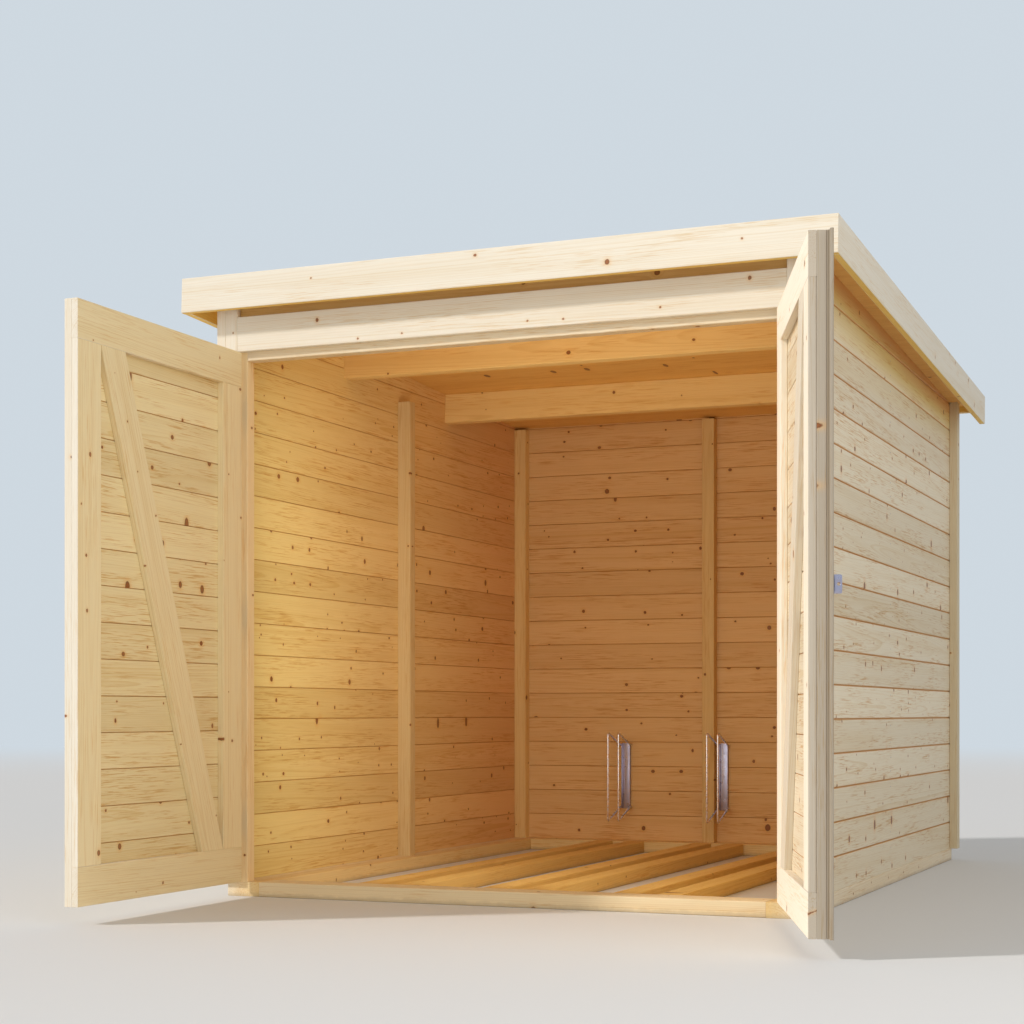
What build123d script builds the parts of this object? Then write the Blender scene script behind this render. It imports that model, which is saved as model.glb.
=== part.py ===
from build123d import *
import math
import os

# Bike shelter: a small boarded shed with a pent roof and a pair of side-hung doors.
# Millimetres, +Z up. The doors face -Y. The origin is on the ground, under the middle of the
# front sill. Places along Y are counted from the front face of the base, by the name front_face.

# Base frame
shelter_width = 1622.0
shelter_depth = 2091.0
base_overhang = 3.0
base_height = 40.0
base_side_width = 98.0
sill_depth = 88.0

# Wheel rails, laid in pairs with a channel for the tyre between them
rail_pair_count = 3
rail_pair_pitch = 371.0
rail_pair_shift = 6.0
rail_width = 64.0
rail_gap = 56.0

# Boarding
board_thickness = 14.0
board_pitch = 90.0
outer_groove_width = 7.0
outer_groove_depth = 4.0
inner_groove_width = 3.0
inner_groove_depth = 2.5

# Framing timber
post_width = 45.0
post_depth = 38.0
side_post_place = 1040.5
side_post_drop = 142.9
rear_centre_post_place = -43.5
rear_post_drop = 99.6
head_rail_height = 89.9
edge_chamfer = 2.0

# Door opening and front trim
front_batten_width = 37.5
front_batten_thickness = 18.0
header_drop = 68.2
header_height = 96.0
corner_trim_thickness = 27.0
corner_trim_width = 45.0
rear_trim_setback = 24.0

# Roof
roof_height = 1664.9
roof_slope = 2.5
roof_front_overhang = 58.0
roof_rear_overhang = 65.0
roof_side_overhang = 85.0
deck_thickness = 16.0
felt_thickness = 3.0
purlin_height = 98.0
purlin_places = [665.0, 1417.0]
fascia_height = 96.0
fascia_thickness = 19.0
fascia_rise = 35.0
rear_fascia_height = 37.0

# Doors
door_bottom_gap = 3.0
door_top_gap = 5.7
door_stop_gap = 5.5
door_meeting_gap = 6.0
door_frame_thickness = 18.0
door_frame_width = 96.0
door_board_thickness = 20.0
door_edge_batten_width = 20.0
door_brace_run = 105.0
door_first_joint = 55.0
left_door_opening = 90.0
right_door_opening = 109.4
cover_strip_width = 45.0
cover_strip_thickness = 13.0
cover_strip_overlap = 17.0
cover_strip_rebate = 5.5

# Hinges
hinge_pin_inset = 2.5
hinge_pin_reach = 7.5
hinge_edge_gap = 7.0
hinge_barrel_radius = 6.0
hinge_pin_radius = 2.5
hinge_pin_clearance = 0.1
hinge_height = 84.0
hinge_knuckle_gap = 1.0
hinge_plate_thickness = 2.5
hinge_plate_width = 34.0
hinge_flap_thickness = 2.0
hinge_flap_width = 34.0
hinge_flap_clearance = 0.6
hinge_end_distance = 160.0

# Padlock eyes
eye_height = 39.0
eye_reach = 17.0
eye_foot = 24.0
eye_thickness = 3.0
eye_hole_radius = 3.5
eye_level = 726.0
eye_strip_margin = 2.0
eye_spacing = 43.0

# Wheel holders
holder_plate_width = 34.0
holder_plate_bottom = 155.0
holder_plate_height = 241.0
holder_plate_thickness = 2.5
holder_flange_depth = 14.0
holder_corner_radius = 6.0
holder_wire_diameter = 7.5
holder_wire_sides = 12
holder_reach = 150.0
holder_wire_spread = 40.0
holder_wire_flare = 47.0
holder_bend_radius = 7.0

# Places worked out from the sizes above
front_face = -sill_depth / 2
half_width = shelter_width / 2
wall_inside = half_width - board_thickness
base_half_width = half_width + base_overhang
post_inside = wall_inside - post_width
rear_wall_face = shelter_depth - board_thickness
header_bottom = roof_height - header_drop - header_height
head_rail_bottom = roof_height - purlin_height - head_rail_height
opening_half_width = half_width - front_batten_width
door_bottom = base_height + door_bottom_gap
door_height = header_bottom - door_top_gap - door_bottom
hinge_x = opening_half_width - hinge_pin_inset
hinge_y = -front_batten_thickness - hinge_pin_reach
door_edge = hinge_x - hinge_edge_gap
door_width = door_edge - door_meeting_gap / 2
door_boards_face = -door_stop_gap - door_frame_thickness
door_outer_face = door_boards_face - door_board_thickness
strip_outer_face = door_outer_face - cover_strip_thickness
right_eye_place = door_meeting_gap / 2 - cover_strip_overlap + eye_strip_margin
left_eye_place = eye_spacing - right_eye_place
roof_half_width = half_width + roof_side_overhang
roof_run = 2 * shelter_depth
front_purlin_place = purlin_height * math.sin(math.radians(roof_slope))
roof_place = Pos(0, front_face, roof_height) * Rot(-roof_slope, 0, 0)


# Helpers

def block(x_span, y_span, z_span):
    # A square piece between limits; y is counted from the front face of the base.
    centre = [(low + high) / 2 for low, high in (x_span, y_span, z_span)]
    size = [high - low for low, high in (x_span, y_span, z_span)]
    return Pos(centre[0], centre[1] + front_face, centre[2]) * Box(*size)


def planed(piece, axis):
    # Takes the sharp corners off the edges that run along the grain.
    return chamfer(piece.edges().filter_by(axis), edge_chamfer)


def below_roof(piece, drop=0.0):
    # Cuts a piece off under the sloping roof boards, or a given distance below them.
    space = Pos(0, shelter_depth / 2, -drop - roof_height) * Box(2 * roof_run, roof_run, 2 * roof_height)
    return piece & (roof_place * space)


def pair(piece):
    # A right-hand piece and its mirror image on the left.
    return Part(children=[piece, mirror(piece, about=Plane.YZ)])


def boarding(length, height, thickness, first_joint):
    # Tongued boards laid along x, with the inner face on y = 0 and grooves along each joint.
    joints = []
    joint = first_joint
    while joint < height - outer_groove_width:
        joints.append(joint)
        joint += board_pitch
    outline = [(0, 0), (thickness, 0)]
    for joint in joints:
        outline.append((thickness, joint - outer_groove_width / 2))
        outline.append((thickness - outer_groove_depth, joint))
        outline.append((thickness, joint + outer_groove_width / 2))
    outline += [(thickness, height), (0, height)]
    for joint in reversed(joints):
        outline.append((0, joint + inner_groove_width / 2))
        outline.append((inner_groove_depth, joint))
        outline.append((0, joint - inner_groove_width / 2))
    section = Plane.YZ * make_face(Polyline(*outline, close=True))
    return extrude(section, amount=length)


# Base frame

def base_side():
    x_span = (base_half_width - base_side_width, base_half_width)
    return planed(block(x_span, (0, shelter_depth), (0, base_height)), Axis.Y)


def base_sill(y_low):
    sill_end = base_half_width - base_side_width
    y_span = (y_low, y_low + sill_depth)
    return planed(block((-sill_end, sill_end), y_span, (0, base_height)), Axis.X)


def wheel_channel(centre):
    # Two rails beside one channel, from the front sill to the rear sill.
    rails = []
    for side in (-1, 1):
        near = centre + side * rail_gap / 2
        far = near + side * rail_width
        x_span = (min(near, far), max(near, far))
        rail = block(x_span, (sill_depth, shelter_depth - sill_depth), (0, base_height))
        rails.append(planed(rail, Axis.Y))
    return Part(children=rails)


# Walls

def wall_height():
    return roof_height - base_height


def left_wall():
    skin = boarding(shelter_depth, wall_height(), board_thickness, board_pitch)
    return below_roof(Pos(-wall_inside, front_face, base_height) * Rot(0, 0, 90) * skin)


def right_wall():
    return mirror(left_wall(), about=Plane.YZ)


def rear_wall():
    skin = boarding(2 * wall_inside, wall_height(), board_thickness, board_pitch)
    return below_roof(Pos(-wall_inside, front_face + rear_wall_face, base_height) * skin)


# Posts and rails of the frame

def corner_post(y_low, top):
    x_span = (post_inside, wall_inside)
    return planed(block(x_span, (y_low, y_low + post_depth), (base_height, top)), Axis.Z)


def corner_posts():
    # The front posts end under the front purlin, the rear ones a little below the roof sheets.
    front = below_roof(corner_post(0, roof_height), purlin_height)
    rear = corner_post(rear_wall_face - post_depth, roof_height - rear_post_drop)
    return Part(children=[pair(front), pair(rear)])


def side_posts():
    x_span = (post_inside, wall_inside)
    y_span = (side_post_place, side_post_place + post_depth)
    z_span = (base_height, roof_height - side_post_drop)
    return pair(planed(block(x_span, y_span, z_span), Axis.Z))


def rear_centre_post():
    x_span = (rear_centre_post_place - post_width / 2, rear_centre_post_place + post_width / 2)
    y_span = (rear_wall_face - post_depth, rear_wall_face)
    z_span = (base_height, roof_height - rear_post_drop)
    return planed(block(x_span, y_span, z_span), Axis.Z)


def head_rail():
    # The rail over the opening, which stops the doors at the top.
    rail = block((-post_inside, post_inside), (0, post_depth), (head_rail_bottom, roof_height))
    return below_roof(rail, purlin_height)


# Front and corner trim

def header_board():
    x_span = (-opening_half_width, opening_half_width)
    y_span = (-front_batten_thickness, 0)
    z_span = (header_bottom, header_bottom + header_height)
    return planed(block(x_span, y_span, z_span), Axis.X)


def front_battens():
    x_span = (opening_half_width, half_width)
    z_span = (base_height, roof_height + fascia_height)
    batten = planed(block(x_span, (-front_batten_thickness, 0), z_span), Axis.Z)
    return pair(below_roof(batten))


def rear_battens():
    x_span = (opening_half_width, half_width)
    y_span = (shelter_depth, shelter_depth + front_batten_thickness)
    batten = planed(block(x_span, y_span, (base_height, roof_height)), Axis.Z)
    return pair(below_roof(batten))


def corner_trims(y_low):
    x_span = (half_width, half_width + corner_trim_thickness)
    y_span = (y_low, y_low + corner_trim_width)
    z_span = (base_height, roof_height + fascia_height)
    return pair(below_roof(planed(block(x_span, y_span, z_span), Axis.Z)))


# Roof, drawn flat and tipped to its slope

def roof_block(x_span, run_span, rise_span):
    centre = [(low + high) / 2 for low, high in (x_span, run_span, rise_span)]
    size = [high - low for low, high in (x_span, run_span, rise_span)]
    return Pos(*centre) * Box(*size)


def roof_rear_end():
    return shelter_depth + roof_rear_overhang


def purlin(run):
    x_span = (-wall_inside, wall_inside)
    beam = roof_block(x_span, (run, run + post_depth), (-purlin_height, 0))
    return roof_place * planed(beam, Axis.X)


def mid_purlins():
    return Part(children=[purlin(place) for place in purlin_places])


def roof_deck():
    # Plain sheets laid across, which meet over the middle of each purlin.
    joints = [place + post_depth / 2 for place in purlin_places]
    ends = [-roof_front_overhang] + joints + [roof_rear_end()]
    x_span = (-roof_half_width, roof_half_width)
    sheets = [roof_block(x_span, run_span, (0, deck_thickness)) for run_span in zip(ends, ends[1:])]
    return roof_place * Part(children=sheets)


def roof_felt():
    run_span = (-roof_front_overhang, roof_rear_end() + fascia_thickness)
    rise_span = (deck_thickness, deck_thickness + felt_thickness)
    return roof_place * roof_block((-roof_half_width, roof_half_width), run_span, rise_span)


def front_fascia():
    x_end = roof_half_width + fascia_thickness
    run_span = (-roof_front_overhang - fascia_thickness, -roof_front_overhang)
    board = roof_block((-x_end, x_end), run_span, (fascia_rise - fascia_height, fascia_rise))
    return roof_place * planed(board, Axis.X)


def rear_fascia():
    # Its top edge lies under the felt, so that rain runs off the back.
    run_span = (roof_rear_end(), roof_rear_end() + fascia_thickness)
    rise_span = (deck_thickness - rear_fascia_height, deck_thickness)
    board = roof_block((-roof_half_width, roof_half_width), run_span, rise_span)
    return roof_place * planed(board, Axis.X)


def right_fascia():
    x_span = (roof_half_width, roof_half_width + fascia_thickness)
    run_span = (-roof_front_overhang, roof_rear_end() + fascia_thickness)
    board = roof_block(x_span, run_span, (fascia_rise - fascia_height, fascia_rise))
    return roof_place * planed(board, Axis.Y)


def left_fascia():
    return mirror(right_fascia(), about=Plane.YZ)


# Wheel holders

def holder_wire(x):
    # One bent wire: out from the plate, along the front of the slot and back.
    back = rear_wall_face - holder_flange_depth
    nose = rear_wall_face - holder_reach
    low = holder_plate_bottom + holder_wire_diameter
    high = holder_plate_bottom + holder_plate_height - holder_wire_diameter
    points = [(x, back, high), (x, nose, high + holder_wire_flare),
              (x, nose, low - holder_wire_flare), (x, back, low)]
    line = FilletPolyline(*[(px, py + front_face, pz) for px, py, pz in points], radius=holder_bend_radius)
    section = Plane(origin=line @ 0, z_dir=line % 0) * RegularPolygon(holder_wire_diameter / 2, holder_wire_sides)
    return sweep(section, path=line)


def wheel_holder(centre):
    plate_span = (centre - holder_plate_width / 2, centre + holder_plate_width / 2)
    z_span = (holder_plate_bottom, holder_plate_bottom + holder_plate_height)
    y_back = rear_wall_face - holder_plate_thickness
    holder = block(plate_span, (y_back, rear_wall_face), z_span)
    for side in (-1, 1):
        edge = centre + side * holder_plate_width / 2
        inner = edge - side * holder_plate_thickness
        flange_span = (min(edge, inner), max(edge, inner))
        flange = block(flange_span, (rear_wall_face - holder_flange_depth, rear_wall_face), z_span)
        corners = flange.edges().filter_by(Axis.X).group_by(Axis.Y)[0]
        holder += fillet(corners, holder_corner_radius)
        holder += holder_wire(centre + side * holder_wire_spread / 2)
    return holder


# Hinges

def hinge_levels():
    low = door_bottom + hinge_end_distance
    high = door_bottom + door_height - hinge_end_distance
    return [low, (low + high) / 2, high]


def knuckle_spans(level):
    # Lower, middle and upper knuckle; the middle one belongs to the door.
    third = hinge_height / 3
    bottom = level - hinge_height / 2
    lower = (bottom, bottom + third)
    middle = (bottom + third + hinge_knuckle_gap, bottom + 2 * third - hinge_knuckle_gap)
    upper = (bottom + 2 * third, bottom + hinge_height)
    return lower, middle, upper


def hinge_rod(radius, span):
    height = span[1] - span[0]
    return Pos(hinge_x, hinge_y + front_face, (span[0] + span[1]) / 2) * Cylinder(radius, height)


def hinge_plate(level):
    # The half on the front batten, with two knuckles and the pin.
    lower, _, upper = knuckle_spans(level)
    full = (lower[0], upper[1])
    y_span = (-front_batten_thickness - hinge_plate_thickness, -front_batten_thickness)
    plate = block((hinge_x, hinge_x + hinge_plate_width), y_span, full)
    reach = hinge_barrel_radius + hinge_flap_clearance
    x_span = (hinge_x - reach, hinge_x + reach)
    notch = block(x_span, (hinge_y - reach, hinge_y + reach), (lower[1], upper[0]))
    plate -= notch
    for span in (lower, upper):
        plate += hinge_rod(hinge_barrel_radius, span)
    return plate + hinge_rod(hinge_pin_radius, full)


def hinge_flap(level):
    # The half on the edge of the door, drawn with the door closed.
    lower, middle, upper = knuckle_spans(level)
    y_mid = (door_outer_face - door_stop_gap) / 2
    y_span = (y_mid - hinge_flap_width / 2, y_mid + hinge_flap_width / 2)
    flap = block((door_edge, door_edge + hinge_flap_thickness), y_span, (lower[0], upper[1]))
    for span in (lower, upper):
        room = (span[0] - hinge_knuckle_gap, span[1] + hinge_knuckle_gap)
        flap -= hinge_rod(hinge_barrel_radius + hinge_flap_clearance, room)
    flap += hinge_rod(hinge_barrel_radius, middle)
    return flap - hinge_rod(hinge_pin_radius + hinge_pin_clearance, (lower[0], upper[1]))


def hinge_plates():
    return Part(children=[hinge_plate(level) for level in hinge_levels()])


def hinge_flaps():
    return Part(children=[hinge_flap(level) for level in hinge_levels()])


# Doors, drawn closed and as the right-hand leaf

def door_boards():
    length = door_width - door_edge_batten_width
    skin = boarding(length, door_height, door_board_thickness, door_first_joint)
    return Pos(door_edge, front_face + door_boards_face, door_bottom) * Rot(0, 0, 180) * skin


def door_stiles():
    # The two stiles between the rails, and the batten that closes the ends of the boards.
    free_edge = door_edge - door_width
    frame_span = (door_boards_face, -door_stop_gap)
    between = (door_bottom + door_frame_width, door_bottom + door_height - door_frame_width)
    stiles = []
    for x_low in (free_edge, door_edge - door_frame_width):
        stile = block((x_low, x_low + door_frame_width), frame_span, between)
        stiles.append(planed(stile, Axis.Z))
    batten = block((free_edge, free_edge + door_edge_batten_width), (door_outer_face, door_boards_face),
                   (door_bottom, door_bottom + door_height))
    stiles.append(planed(batten, Axis.Z))
    return Part(children=stiles)


def door_rails():
    x_span = (door_edge - door_width, door_edge)
    y_span = (door_boards_face, -door_stop_gap)
    rails = []
    for z_low in (door_bottom, door_bottom + door_height - door_frame_width):
        rail = block(x_span, y_span, (z_low, z_low + door_frame_width))
        rails.append(planed(rail, Axis.X))
    return Part(children=rails)


def door_brace():
    # From the bottom at the hinges to the top at the free edge.
    hinge_side = door_edge - door_frame_width
    free_side = door_edge - door_width + door_frame_width
    low = door_bottom + door_frame_width
    high = door_bottom + door_height - door_frame_width
    outline = Polyline((hinge_side, low), (hinge_side - door_brace_run, low), (free_side, high),
                       (free_side + door_brace_run, high), close=True)
    section = Plane.XZ.offset(-front_face - door_boards_face) * make_face(outline)
    return extrude(section, amount=-door_frame_thickness)


def cover_strip():
    # Covers the joint between the doors, relieved where it lies over the other leaf.
    free_edge = door_meeting_gap / 2
    x_span = (free_edge - cover_strip_overlap, free_edge - cover_strip_overlap + cover_strip_width)
    y_span = (strip_outer_face, door_outer_face)
    strip = planed(block(x_span, y_span, (door_bottom, door_bottom + door_height)), Axis.Z)
    relief = block((x_span[0], free_edge),
                   (door_outer_face - cover_strip_rebate, door_outer_face),
                   (door_bottom, door_bottom + door_height))
    return strip - relief


def padlock_eye(x_low, seat):
    # An angle of sheet steel, screwed to a face, with a hole for the shackle. The holes of both
    # eyes are on one line, clear of the cover strip.
    tip = strip_outer_face - eye_reach
    z_span = (door_bottom + eye_level - eye_height / 2, door_bottom + eye_level + eye_height / 2)
    foot = block((x_low, x_low + eye_foot), (seat - eye_thickness, seat), z_span)
    fin = block((x_low, x_low + eye_thickness), (tip, seat), z_span)
    corners = fin.edges().filter_by(Axis.X).group_by(Axis.Y)[0]
    fin = fillet(corners, eye_thickness)
    hole_y = strip_outer_face - (eye_reach + eye_thickness) / 2
    place = Pos(x_low, hole_y + front_face, door_bottom + eye_level) * Rot(0, 90, 0)
    return foot + fin - place * Cylinder(eye_hole_radius, 3 * eye_thickness)


def swing_right(piece):
    hinge = Pos(hinge_x, hinge_y + front_face, 0)
    return hinge * Rot(0, 0, right_door_opening) * hinge.inverse() * piece


def swing_left(piece):
    hinge = Pos(-hinge_x, hinge_y + front_face, 0)
    leaf = mirror(piece, about=Plane.YZ)
    return hinge * Rot(0, 0, -left_door_opening) * hinge.inverse() * leaf


# All pieces by name

def pieces():
    made = {
        "base_side_left": mirror(base_side(), about=Plane.YZ),
        "base_side_right": base_side(),
        "base_sill_front": base_sill(0),
        "base_sill_rear": base_sill(shelter_depth - sill_depth),
        "left_wall": left_wall(),
        "right_wall": right_wall(),
        "rear_wall": rear_wall(),
        "corner_posts": corner_posts(),
        "side_posts": side_posts(),
        "rear_centre_post": rear_centre_post(),
        "head_rail": head_rail(),
        "header_board": header_board(),
        "front_battens": front_battens(),
        "rear_battens": rear_battens(),
        "front_corner_trims": corner_trims(-front_batten_thickness),
        "rear_corner_trims": corner_trims(shelter_depth - rear_trim_setback),
        "front_purlin": purlin(front_purlin_place),
        "mid_purlins": mid_purlins(),
        "roof_deck": roof_deck(),
        "roof_felt": roof_felt(),
        "front_fascia": front_fascia(),
        "rear_fascia": rear_fascia(),
        "left_fascia": left_fascia(),
        "right_fascia": right_fascia(),
        "left_hinge_plates": mirror(hinge_plates(), about=Plane.YZ),
        "right_hinge_plates": hinge_plates(),
    }
    for number in range(rail_pair_count):
        centre = rail_pair_shift + (number - (rail_pair_count - 1) / 2) * rail_pair_pitch
        made["wheel_rails_%d" % (number + 1)] = wheel_channel(centre)
        made["wheel_holder_%d" % (number + 1)] = wheel_holder(centre)
    leaf_parts = {
        "door_boards": door_boards(),
        "door_stiles": door_stiles(),
        "door_rails": door_rails(),
        "door_brace": door_brace(),
        "hinge_flaps": hinge_flaps(),
    }
    for name, piece in leaf_parts.items():
        made["left_" + name] = swing_left(piece)
        made["right_" + name] = swing_right(piece)
    made["right_cover_strip"] = swing_right(cover_strip())
    made["left_padlock_eye"] = swing_left(padlock_eye(left_eye_place, door_outer_face))
    made["right_padlock_eye"] = swing_right(padlock_eye(right_eye_place, strip_outer_face))
    return made


os.makedirs("parts", exist_ok=True)
for name, piece in pieces().items():
    export_step(piece, "parts/%s.step" % name)
    print(name, len(piece.solids()), "solids")
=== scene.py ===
# Bike shelter: boarded walls, pent roof, a pair of doors, wheel rails and wheel holders.
# Metres, +Z up, the doors face -Y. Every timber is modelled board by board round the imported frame.
import math
import random

import bmesh
import bpy
from mathutils import Matrix, Vector


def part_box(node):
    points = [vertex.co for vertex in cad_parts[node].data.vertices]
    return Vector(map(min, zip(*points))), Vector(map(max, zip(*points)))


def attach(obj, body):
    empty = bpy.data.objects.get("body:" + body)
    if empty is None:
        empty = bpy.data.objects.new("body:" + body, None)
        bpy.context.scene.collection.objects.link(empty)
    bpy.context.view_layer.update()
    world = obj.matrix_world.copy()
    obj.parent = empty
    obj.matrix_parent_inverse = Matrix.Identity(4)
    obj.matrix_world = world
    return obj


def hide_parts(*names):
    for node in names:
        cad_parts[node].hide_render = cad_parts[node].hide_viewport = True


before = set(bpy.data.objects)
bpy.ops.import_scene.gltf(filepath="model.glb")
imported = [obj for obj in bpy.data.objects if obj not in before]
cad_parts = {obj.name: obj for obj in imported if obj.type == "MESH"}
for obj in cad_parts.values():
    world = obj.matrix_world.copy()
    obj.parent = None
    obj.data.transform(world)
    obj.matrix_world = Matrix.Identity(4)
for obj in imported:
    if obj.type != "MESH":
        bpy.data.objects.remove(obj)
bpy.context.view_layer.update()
print("frame loaded")


# Camera and studio

cameraLook = {
    "place": (1.956, -4.674, 0.506), "turnDegrees": 22.5, "lens": 67.7, "sensor": 36.0,
    "rise": 0.1963,        # lifts the frame, as the horizon lies low in the picture
    "farthest": 200.0,
}
studioLook = {
    "background": (0.62, 0.69, 0.75), "skyLight": (0.98, 0.99, 1.0), "skyStrength": 0.50,
    "sunColour": (1.0, 0.985, 0.97), "sunStrength": 2.0, "sunHeight": 31.0, "sunFromLeft": 53.0,
    "sunSoftness": 4.0, "sunAway": 6.0,
    "floorColour": (0.74, 0.73, 0.715), "floorRoughness": 0.85, "floorRadius": 45.0, "floorMiddle": 1.0,
    "floorFade": (9.0, 26.0),
}
lampLooks = {
    "side": {"power": 26.0, "colour": (1.0, 1.0, 0.98), "size": (3.0, 2.0), "place": (3.7, -2.4, 3.2),
             "aim": (-0.4, -0.2, 0.7), "spread": 180.0, "shiny": False},
    "front": {"power": 9.0, "colour": (1.0, 1.0, 0.98), "size": (2.2, 1.8), "place": (3.2, -4.0, 1.5),
              "aim": (-0.9, -0.3, 0.75), "spread": 90.0, "shiny": False},
    "doorway": {"power": 4.7, "colour": (1.0, 0.99, 0.93), "size": (1.10, 1.25), "place": (0.0, 0.03, 0.80),
                "aim": (0.0, 2.0, 0.80), "spread": 180.0, "shiny": True},
}


def placed(name, data):
    made = bpy.data.objects.new(name, data)
    bpy.context.collection.objects.link(made)
    return made


def solidObject(name, bm, material):
    mesh = bpy.data.meshes.new(name)
    bm.to_mesh(mesh)
    bm.free()
    mesh.materials.append(material)
    return placed(name, mesh)


def lookAlong(way):
    return way.to_track_quat("-Z", "Y").to_euler()


def makeCamera(look):
    data = bpy.data.cameras.new("photoCamera")
    data.sensor_width, data.lens = look["sensor"], look["lens"]
    data.shift_y, data.clip_end = look["rise"], look["farthest"]
    camera = placed("photoCamera", data)
    camera.location = look["place"]
    camera.rotation_euler = (math.radians(90), 0.0, math.radians(look["turnDegrees"]))
    bpy.context.scene.camera = camera


makeCamera(cameraLook)
bpy.context.scene.view_settings.view_transform = "Standard"


# Node helpers: each finds its tree from a socket that it is given

def plug(sockets, values):
    # Links or sets sockets by name or number; a plain colour gets its alpha.
    for name, value in values.items():
        target = sockets[name]
        if isinstance(value, bpy.types.NodeSocket):
            target.id_data.links.new(value, target)
        else:
            target.default_value = (*value, 1.0) if target.type == "RGBA" else value


def addNode(tree, kind, inputs=None, **settings):
    made = tree.nodes.new(kind)
    for name, value in settings.items():
        setattr(made, name, value)
    plug(made.inputs, inputs or {})
    return made


def follow(kind, inputs, **settings):
    tree = next(value.id_data for value in inputs.values() if isinstance(value, bpy.types.NodeSocket))
    return addNode(tree, kind, inputs, **settings).outputs


def calc(operation, *values, clamp=False):
    return follow("ShaderNodeMath", dict(enumerate(values)), operation=operation, use_clamp=clamp)[0]


def times(first, *others):
    for other in others:
        first = calc("MULTIPLY", first, other)
    return first


def plus(base, value, factor, clamp=False):
    return calc("MULTIPLY_ADD", value, factor, base, clamp=clamp)


def hypotenuse(first, second):
    return calc("SQRT", plus(times(second, second), first, first))


def vectorCalc(operation, *vectors):
    return follow("ShaderNodeVectorMath", dict(enumerate(vectors)), operation=operation)


def combine(x, y, z):
    return follow("ShaderNodeCombineXYZ", {0: x, 1: y, 2: z})[0]


def partsOf(socket):
    # The three parts of a vector or a colour.
    return follow("ShaderNodeSeparate" + ("Color" if socket.type == "RGBA" else "XYZ"), {0: socket})


def ramp(value, low, high, start=0.0, end=1.0):
    return follow("ShaderNodeMapRange", {"Value": value, "From Min": low, "From Max": high, "To Min": start,
                                         "To Max": end}, interpolation_type="SMOOTHSTEP")[0]


def mix(factor, first, second, blend="MIX"):
    return follow("ShaderNodeMix", {0: factor, 6: first, 7: second}, data_type="RGBA", blend_type=blend)[2]


def noise(vector, scale, detail=2.0, roughness=0.5):
    return follow("ShaderNodeTexNoise", {"Vector": vector, "Scale": scale, "Detail": detail,
                                         "Roughness": roughness})[0]


def cells(vector, scale, **settings):
    return follow("ShaderNodeTexVoronoi", {"Vector": vector, "Scale": scale,
                                           "Randomness": settings.pop("randomness", 1.0)}, **settings)


def bump(height, strength, distance):
    return follow("ShaderNodeBump", {"Height": height, "Strength": strength, "Distance": distance})[0]


def objectPlace(tree):
    return tree.nodes.new("ShaderNodeTexCoord").outputs["Object"]


def seenDirectly(tree):
    rays = tree.nodes.new("ShaderNodeLightPath").outputs
    seen = calc("MAXIMUM", rays["Is Camera Ray"], rays["Is Glossy Ray"])
    return calc("MAXIMUM", seen, rays["Is Transmission Ray"])


def floats(*names):
    return dict.fromkeys(names, "Float")


def newGroup(name, inputs, outputs):
    tree = bpy.data.node_groups.new(name, "ShaderNodeTree")
    for way, sockets in (("INPUT", inputs), ("OUTPUT", outputs)):
        for label, kind in sockets.items():
            tree.interface.new_socket(label, in_out=way, socket_type="NodeSocket" + kind)
    return tree, tree.nodes.new("NodeGroupInput").outputs, tree.nodes.new("NodeGroupOutput").inputs


def useGroup(tree, key, inputs):
    return addNode(tree, "ShaderNodeGroup", inputs, node_tree=groups[key]).outputs


def emptyTree(data):
    data.use_nodes = True
    data.node_tree.nodes.clear()
    return data.node_tree


def newMaterial(name):
    material = bpy.data.materials.new(name)
    tree = emptyTree(material)
    shader = tree.nodes.new("ShaderNodeBsdfPrincipled")
    addNode(tree, "ShaderNodeOutputMaterial", {0: shader.outputs[0]}, name="output")
    return material, tree, shader


def softLamp(name, power, colour, size, place, aim, spread, shiny):
    # A soft box that lights the shelter and isn't seen itself.
    lamp = bpy.data.lights.new(name, "AREA")
    lamp.shape, lamp.energy, lamp.color, lamp.spread = "RECTANGLE", power, colour, math.radians(spread)
    lamp.size, lamp.size_y = size
    box = placed(name, lamp)
    box.location, box.visible_camera, box.visible_glossy = place, False, shiny
    box.rotation_euler = lookAlong(Vector(aim) - Vector(place))


def makeStudio(look):
    world = bpy.data.worlds.new("studio")
    tree = emptyTree(world)
    light = addNode(tree, "ShaderNodeBackground", {0: look["skyLight"], 1: look["skyStrength"]})
    shown = addNode(tree, "ShaderNodeBackground", {0: look["background"], 1: 1.0})
    mixed = addNode(tree, "ShaderNodeMixShader", {0: seenDirectly(tree), 1: light.outputs[0], 2: shown.outputs[0]})
    addNode(tree, "ShaderNodeOutputWorld", {0: mixed.outputs[0]})
    bpy.context.scene.world = world

    lamp = bpy.data.lights.new("keyLight", "SUN")
    lamp.energy, lamp.color, lamp.angle = look["sunStrength"], look["sunColour"], math.radians(look["sunSoftness"])
    height, side = math.radians(look["sunHeight"]), math.radians(look["sunFromLeft"])
    towards = Vector((math.sin(side) * math.cos(height), math.cos(side) * math.cos(height), -math.sin(height)))
    key = placed("keyLight", lamp)
    key.rotation_euler = lookAlong(towards)
    key.location = -look["sunAway"] * towards

    material, tree, shader = newMaterial("studioFloor")
    plug(shader.inputs, {"Base Color": look["floorColour"], "Roughness": look["floorRoughness"]})
    far = ramp(vectorCalc("LENGTH", objectPlace(tree))["Value"], *look["floorFade"])
    glow = addNode(tree, "ShaderNodeEmission", {0: look["background"], 1: 1.0})
    fade = times(far, seenDirectly(tree))
    mixed = addNode(tree, "ShaderNodeMixShader", {0: fade, 1: shader.outputs[0], 2: glow.outputs[0]})
    plug(tree.nodes["output"].inputs, {0: mixed.outputs[0]})
    bm = bmesh.new()
    bmesh.ops.create_circle(bm, cap_ends=True, radius=look["floorRadius"], segments=96)
    bmesh.ops.translate(bm, vec=(0, look["floorMiddle"], 0), verts=bm.verts)
    floor = solidObject("studioFloor", bm, material)


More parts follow.
